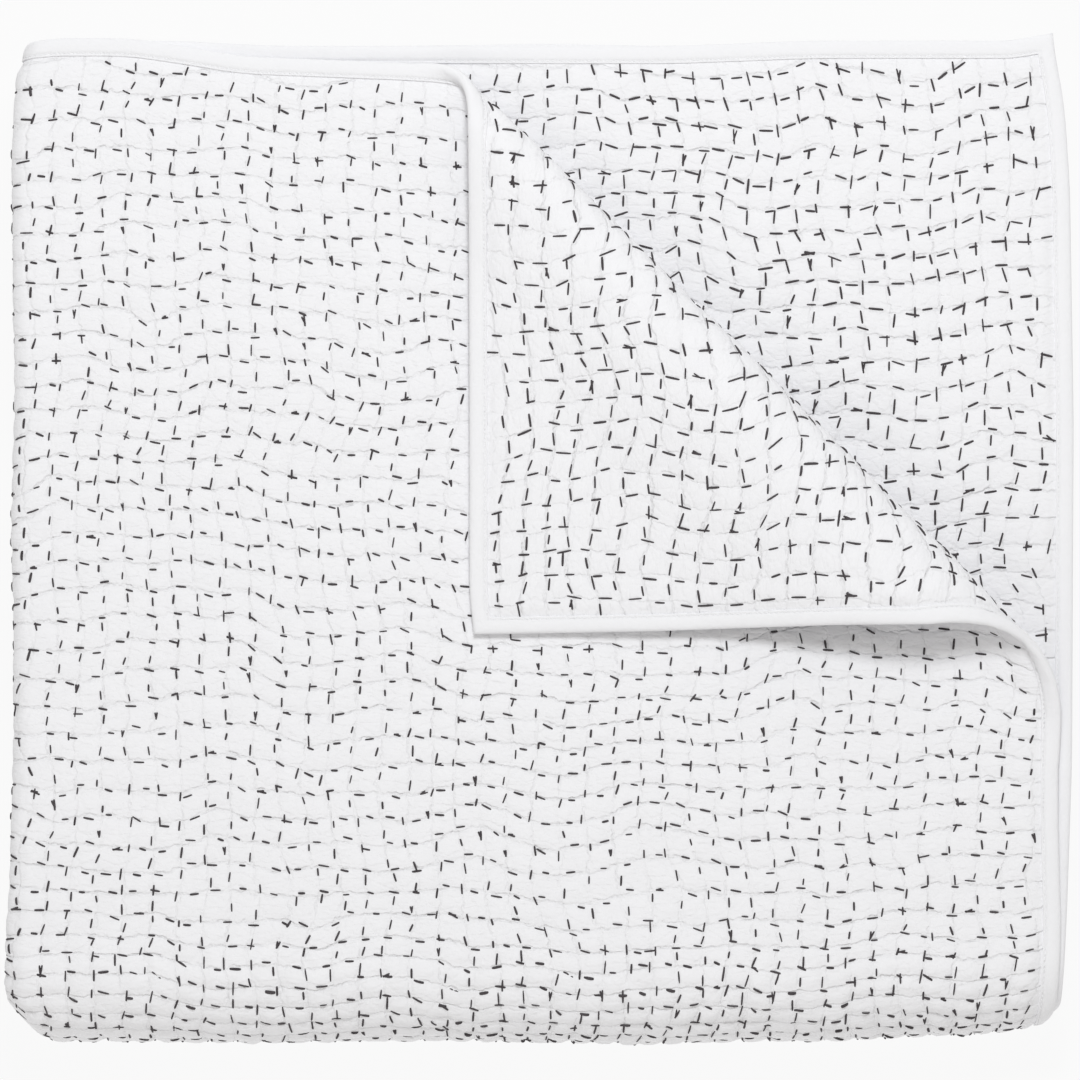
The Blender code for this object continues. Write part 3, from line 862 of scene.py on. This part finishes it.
def stitch_places(along_rows, side):
    """Flat places, headings and lengths of the running stitches of all rows, or of all columns."""
    columns, rows = int(WIDTH / STITCH_PITCH) + 2, int(LENGTH / STITCH_PITCH) + 2
    column, row = (a.ravel().astype(float) for a in np.meshgrid(np.arange(columns), np.arange(rows)))
    rng = np.random.default_rng(STITCH_SEED + 4 * along_rows + side)
    jitter = rng.uniform(-1, 1, (4, len(column)))
    onward, aside = (column, row) if along_rows else (row, column)
    onward = onward + STITCH_START + PLACE_JITTER * jitter[0] + (0.5 if side < 0 else 0.0)
    for drift in STITCH_DRIFTS:
        place = (column, row) if along_rows else (row, column)
        start = place[0] / drift.onward + drift.start * along_rows
        onward = onward + drift.size * noise(start, place[1] / drift.aside, drift.seed + along_rows)
    aside = aside + LINE_JITTER * jitter[1]

    def at(step):
        place = (onward + step, aside) if along_rows else (aside, onward + step)
        return np.array(flat_place(*place))

    u, v = at(0.0)
    heading = at(HEADING_STEP) - at(-HEADING_STEP)
    slant = (ROW_SLANT if along_rows else COLUMN_SLANT) if side > 0 else 0.0
    du, dv = turned(heading / np.hypot(*heading), slant + TURN_JITTER * jitter[2])
    length = (FRONT_STITCH if side > 0 else BACK_STITCH) * (1 + LENGTH_JITTER * jitter[3])
    again = rng.uniform(0, 1, len(u)) < DOUBLED_SHARE
    turned_du, turned_dv = turned((du[again], dv[again]), DOUBLED_TURN)
    shifted_u, shifted_v = u[again] + DOUBLED_SHIFT[0], v[again] + DOUBLED_SHIFT[1]
    extra = (shifted_u, shifted_v, turned_du, turned_dv, DOUBLED_LENGTH * length[again])
    return tuple(np.concatenate(pair) for pair in zip((u, v, du, dv, length), extra))


def build_stitches(name, side, wanted, material, sides):
    """One mesh of all the dark running stitches of one face that are wanted."""
    parts = []
    for along_rows in (True, False):
        u, v, du, dv, length = stitch_places(along_rows, side)
        keep = (rim_distance(u, v) > STITCH_MARGIN) & (u < WIDTH) & (v < LENGTH) & wanted(u, v)
        u, v, du, dv, length = (a[keep] for a in (u, v, du, dv, length))
        patch = noise(u / THREAD_PATCH, v / THREAD_PATCH, THREAD_SEED)
        radius = THREAD_RADIUS * (1 + RADIUS_CHANGE * patch) * (BACK_THICKNESS if side < 0 else 1.0)
        parts.append(thread_mesh(
            u, v, lambda a, b: surface(a, b, side), (du, dv), length, side, radius, sides
        ))
    obj = mesh_object(name, *joined(parts), material)
    return obj


def wanted_top(u, v):
    return (shown(u, v, 1) == 2) & (v < LOWER_TURN_END)


def wanted_under(u, v):
    return shown(u, v, 1) == 1


def wanted_back(u, v):
    return shown(u, v, -1) == 2


TOPSTITCH_PITCH = 0.0026
TOPSTITCH_LENGTH = 0.0015
TOPSTITCH_RADIUS = 0.00030
TOPSTITCH_INSET = 0.00835
TOPSTITCH_HEIGHT = 0.00205
TOPSTITCH_START = 0.012
TOPSTITCH_JITTER = 0.0002
TOPSTITCH_SEED = 60


def build_topstitch(material):
    """The fine white stitching that holds the binding down, where it shows from above."""
    parts = []
    rng = np.random.default_rng(TOPSTITCH_SEED)
    for side, down, far in product((1, -1), (False, True), (False, True)):
        run, width = (LENGTH, WIDTH) if down else (WIDTH, LENGTH)
        along = np.arange(TOPSTITCH_START, run - TOPSTITCH_START, TOPSTITCH_PITCH)
        along = along + rng.uniform(-TOPSTITCH_JITTER, TOPSTITCH_JITTER, len(along))
        line = np.full(len(along), width - TOPSTITCH_INSET if far else TOPSTITCH_INSET)
        u, v = (line, along) if down else (along, line)
        keep = shown(u, v, side) == 2
        u, v = u[keep], v[keep]
        ones = np.ones(len(u))
        heading = (0 * ones, ones) if down else (ones, 0 * ones)
        parts.append(thread_mesh(
            u, v, lambda a, b: side * TOPSTITCH_HEIGHT + 0 * a, heading,
            TOPSTITCH_LENGTH * ones, side, TOPSTITCH_RADIUS * ones, PLAIN_SIDES
        ))
    obj = mesh_object("binding_topstitch", *joined(parts), material)
    return obj


# Materials
COTTON_COLOUR = (0.905, 0.904, 0.925, 1.0)
COTTON_SHADE = (0.871, 0.870, 0.892, 1.0)
BINDING_COLOUR = (0.895, 0.895, 0.915, 1.0)
THREAD_COLOUR = (0.034, 0.029, 0.032, 1.0)
THREAD_LIGHT = (0.095, 0.084, 0.090, 1.0)
WHITE_THREAD = (0.86, 0.865, 0.875, 1.0)
FLOOR_COLOUR = (0.040, 0.040, 0.040, 1.0)
FLOOR_PALE = (0.045, 0.045, 0.045, 1.0)
FLOOR_GLOW = 0.905
FLOOR_SIZE = 6.0

# Scales are in repeats a metre, and depths in metres
EVEN = (1.0, 1.0, 1.0)
MOTTLE_SCALE = 60.0
WRINKLE_STRETCH = (0.8, 1.7, 1.0)
WRINKLE_SCALE = 210.0
WRINKLE_DEPTH = 0.00060
CREASE_DEPTH = 0.00070
CREASE_RIPPLE_SCALE = 190.0
CREASE_PATCH_SCALE = 95.0
CREASE_SHARPNESS = 13.0
CREASE_BLEND = 0.3
ROW_CREASE_WANDER = 0.34
ROW_CREASE_SHARE = 1.3
COLUMN_CREASE_WANDER = 0.40
COLUMN_CREASE_LIMIT = 0.9
SLANT_CREASE_STRETCH = (75.0, 130.0, 1.0)
SLANT_CREASE_SHARPNESS = 8.0
SLANT_CREASE_SHARE = 0.22
WEAVE_PITCH = 0.0005
COTTON_WEAVE_DEPTH = 0.00003
BINDING_WEAVE_DEPTH = 0.00004
BINDING_MOTTLE_SCALE = 90.0
BINDING_PUCKER_SCALE = 420.0
BINDING_PUCKER_DEPTH = 0.00025
FUZZ_SCALE = 110.0
PLY_SCALE = 1600.0
PLY_DEPTH = 0.0002
FLOOR_GRAIN_SCALE = 3.0


class Nodes:
    """A material's nodes, made and joined in short lines."""

    def __init__(self, name):
        self.material = bpy.data.materials.new(name)
        self.material.use_nodes = True
        self.tree = self.material.node_tree
        self.shader = self.tree.nodes["Principled BSDF"]

    def add(self, kind, inputs=None, **settings):
        node = self.tree.nodes.new(kind)
        for key, value in settings.items():
            setattr(node, key, value)
        for key, value in (inputs or {}).items():
            if isinstance(value, bpy.types.NodeSocket):
                self.tree.links.new(value, node.inputs[key])
            else:
                node.inputs[key].default_value = value
        return node

    def maths(self, operation, first, second=0.0, third=0.0):
        node = self.add("ShaderNodeMath", operation=operation)
        for index, value in enumerate((first, second, third)):
            if isinstance(value, bpy.types.NodeSocket):
                self.tree.links.new(value, node.inputs[index])
            else:
                node.inputs[index].default_value = value
        return node.outputs[0]

    def flat(self, scale, label="flat"):
        source = self.add("ShaderNodeAttribute", attribute_name=label)
        mapping = self.add("ShaderNodeMapping", {"Vector": source.outputs["Vector"], "Scale": scale})
        return mapping.outputs["Vector"]

    def noise(self, vector, scale, detail=2.0, distortion=0.0):
        inputs = {"Vector": vector, "Scale": scale, "Detail": detail, "Distortion": distortion}
        return self.add("ShaderNodeTexNoise", inputs).outputs["Fac"]

    def bump(self, height, depth, normal=None):
        inputs = {"Height": height, "Distance": depth, "Strength": 1.0}
        if normal is not None:
            inputs["Normal"] = normal
        return self.add("ShaderNodeBump", inputs).outputs["Normal"]

    def link(self, socket, name):
        self.tree.links.new(socket, self.shader.inputs[name])

    def colour(self, share, first, second):
        """Mixes the base colour from two by a varying share."""
        mix = self.add("ShaderNodeMix", {"Factor": share}, data_type="RGBA")
        mix.inputs["A"].default_value = first
        mix.inputs["B"].default_value = second
        self.link(mix.outputs["Result"], "Base Color")

    def constants(self, values):
        for name, value in values.items():
            self.shader.inputs[name].default_value = value


def weave(nodes):
    """The height of a plain weave of fine threads."""
    parts = nodes.add("ShaderNodeSeparateXYZ", {"Vector": nodes.flat(EVEN)})
    rate = 2 * math.pi / WEAVE_PITCH
    warp = nodes.maths("SINE", nodes.maths("MULTIPLY", parts.outputs["X"], rate))
    weft = nodes.maths("SINE", nodes.maths("MULTIPLY", parts.outputs["Y"], rate))
    return nodes.maths("MULTIPLY", warp, weft)


def sharp_line(nodes, away, sharpness):
    """A narrow groove where a distance is nought, up to 1 beside it."""
    return nodes.maths("SMOOTH_MIN", nodes.maths("MULTIPLY", away, sharpness), 1.0, CREASE_BLEND)


def crease_line(nodes, ripple, count, wander_share):
    """The groove along each whole count of stitching, wandering a little."""
    shifted = nodes.maths("MULTIPLY_ADD", ripple, wander_share, count)
    share = nodes.maths("FRACT", nodes.maths("ADD", shifted, 0.5 - wander_share / 2))
    away = nodes.maths("ABSOLUTE", nodes.maths("SUBTRACT", share, 0.5))
    return sharp_line(nodes, away, CREASE_SHARPNESS)


def creases(nodes):
    """Hairline creases: along the stitching rows, and fainter ones that run slantwise between stitches."""
    source = nodes.add("ShaderNodeAttribute", attribute_name="quilt")
    ripple = nodes.noise(nodes.flat(EVEN), CREASE_RIPPLE_SCALE)
    parts = nodes.add("ShaderNodeSeparateXYZ", {"Vector": source.outputs["Vector"]})
    row_line = crease_line(nodes, ripple, parts.outputs["Y"], ROW_CREASE_WANDER)
    column_line = crease_line(nodes, ripple, parts.outputs["X"], COLUMN_CREASE_WANDER)
    cells = nodes.add(
        "ShaderNodeTexVoronoi",
        {"Vector": nodes.flat(SLANT_CREASE_STRETCH), "Scale": 1.0, "Randomness": 1.0},
        feature="DISTANCE_TO_EDGE",
        voronoi_dimensions="2D",
    )
    slant_line = sharp_line(nodes, cells.outputs["Distance"], SLANT_CREASE_SHARPNESS)
    uneven = nodes.noise(nodes.flat(EVEN), CREASE_PATCH_SCALE)
    row_part = nodes.maths("MULTIPLY", row_line, nodes.maths("MULTIPLY", uneven, ROW_CREASE_SHARE))
    column_share = nodes.maths("SUBTRACT", COLUMN_CREASE_LIMIT, uneven)
    column_part = nodes.maths("MULTIPLY", column_line, column_share)
    lines = nodes.maths("ADD", row_part, column_part)
    return nodes.maths("ADD", lines, nodes.maths("MULTIPLY", slant_line, SLANT_CREASE_SHARE))


def cotton_material():
    nodes = Nodes("white_quilted_cotton")
    nodes.colour(nodes.noise(nodes.flat(EVEN), MOTTLE_SCALE, detail=3.0), COTTON_COLOUR, COTTON_SHADE)
    wrinkle = nodes.noise(nodes.flat(WRINKLE_STRETCH), WRINKLE_SCALE, detail=3.0, distortion=0.8)
    normal = nodes.bump(wrinkle, WRINKLE_DEPTH)
    normal = nodes.bump(creases(nodes), CREASE_DEPTH, normal)
    nodes.link(nodes.bump(weave(nodes), COTTON_WEAVE_DEPTH, normal), "Normal")
    nodes.constants({
        "Roughness": 0.88, "Specular IOR Level": 0.25, "Sheen Weight": 0.12, "Sheen Roughness": 0.5
    })
    return nodes.material


def binding_material():
    nodes = Nodes("white_binding_cotton")
    nodes.colour(nodes.noise(nodes.flat(EVEN), BINDING_MOTTLE_SCALE), BINDING_COLOUR, COTTON_COLOUR)
    pucker = nodes.noise(nodes.flat(EVEN), BINDING_PUCKER_SCALE, distortion=0.3)
    normal = nodes.bump(pucker, BINDING_PUCKER_DEPTH)
    nodes.link(nodes.bump(weave(nodes), BINDING_WEAVE_DEPTH, normal), "Normal")
    nodes.constants({"Roughness": 0.85, "Specular IOR Level": 0.25, "Sheen Weight": 0.12})
    return nodes.material


def thread_material(name, first, second):
    nodes = Nodes(name)
    place = nodes.add("ShaderNodeTexCoord").outputs["Object"]
    nodes.colour(nodes.noise(place, FUZZ_SCALE, detail=4.0), first, second)
    nodes.link(nodes.bump(nodes.noise(place, PLY_SCALE, detail=1.0), PLY_DEPTH), "Normal")
    nodes.constants({"Roughness": 0.8, "Specular IOR Level": 0.3})
    return nodes.material


def floor_material():
    nodes = Nodes("pale_floor")
    place = nodes.add("ShaderNodeTexCoord").outputs["Object"]
    nodes.colour(nodes.noise(place, FLOOR_GRAIN_SCALE, detail=1.0), FLOOR_COLOUR, FLOOR_PALE)
    nodes.constants({
        "Roughness": 0.9, "Emission Color": (1.0, 1.0, 1.0, 1.0), "Emission Strength": FLOOR_GLOW
    })
    return nodes.material


def build_stage():
    bpy.ops.mesh.primitive_plane_add(size=2 * FLOOR_SIZE)
    floor = bpy.context.object
    floor.name = "floor"
    floor.data.materials.append(floor_material())


Lamp = namedtuple("Lamp", "name place size power colour")
LAMPS = (
    Lamp("key", (0.1, 1.3, 2.5), 0.8, 41.0, (0.97, 0.985, 1.0)),
    Lamp("fill", (-0.3, -2.4, 1.5), 1.8, 14.0, (1.0, 0.985, 0.97)),
)
SKY_COLOUR = (1.0, 0.985, 0.955, 1.0)
SKY_STRENGTH = 0.490


def build_lamp(lamp):
    """A round soft light that aims at the middle of the floor."""
    light = bpy.data.lights.new(lamp.name, "AREA")
    light.shape = "DISK"
    light.size = lamp.size
    light.energy = lamp.power
    light.color = lamp.colour
    obj = bpy.data.objects.new(lamp.name, light)
    obj.location = lamp.place
    obj.rotation_euler = (-Vector(lamp.place)).to_track_quat("-Z", "Y").to_euler()
    bpy.context.scene.collection.objects.link(obj)


def build_light():
    world = bpy.data.worlds.new("studio")
    world.use_nodes = True
    background = world.node_tree.nodes["Background"]
    background.inputs["Color"].default_value = SKY_COLOUR
    background.inputs["Strength"].default_value = SKY_STRENGTH
    bpy.context.scene.world = world
    for lamp in LAMPS:
        build_lamp(lamp)
    bpy.context.scene.view_settings.view_transform = "Standard"


def build_camera():
    camera = bpy.data.cameras.new("camera")
    camera.sensor_width = SENSOR_WIDTH
    camera.lens = SENSOR_WIDTH * VIEW_DISTANCE / VIEW_WIDTH
    obj = bpy.data.objects.new("camera", camera)
    obj.location = (VIEW_CENTRE[0] + SHIFT[0], VIEW_CENTRE[1] + SHIFT[1], VIEW_HEIGHT + VIEW_DISTANCE)
    bpy.context.scene.collection.objects.link(obj)
    bpy.context.scene.camera = obj


def main():
    build_camera()
    cotton, edge = cotton_material(), binding_material()
    dark = thread_material("charcoal_thread", THREAD_COLOUR, THREAD_LIGHT)
    white = thread_material("white_thread", WHITE_THREAD, COTTON_COLOUR)
    cloth = build_cloth(cotton)
    binding = build_binding(edge)
    extras = [
        binding,
        build_topstitch(white),
        build_stitches("stitches_top", 1, wanted_top, dark, ROUND_SIDES),
        build_stitches("stitches_turned", -1, wanted_back, dark, ROUND_SIDES),
        build_stitches("stitches_under", 1, wanted_under, dark, PLAIN_SIDES),
    ]
    build_stage()
    build_light()


main()
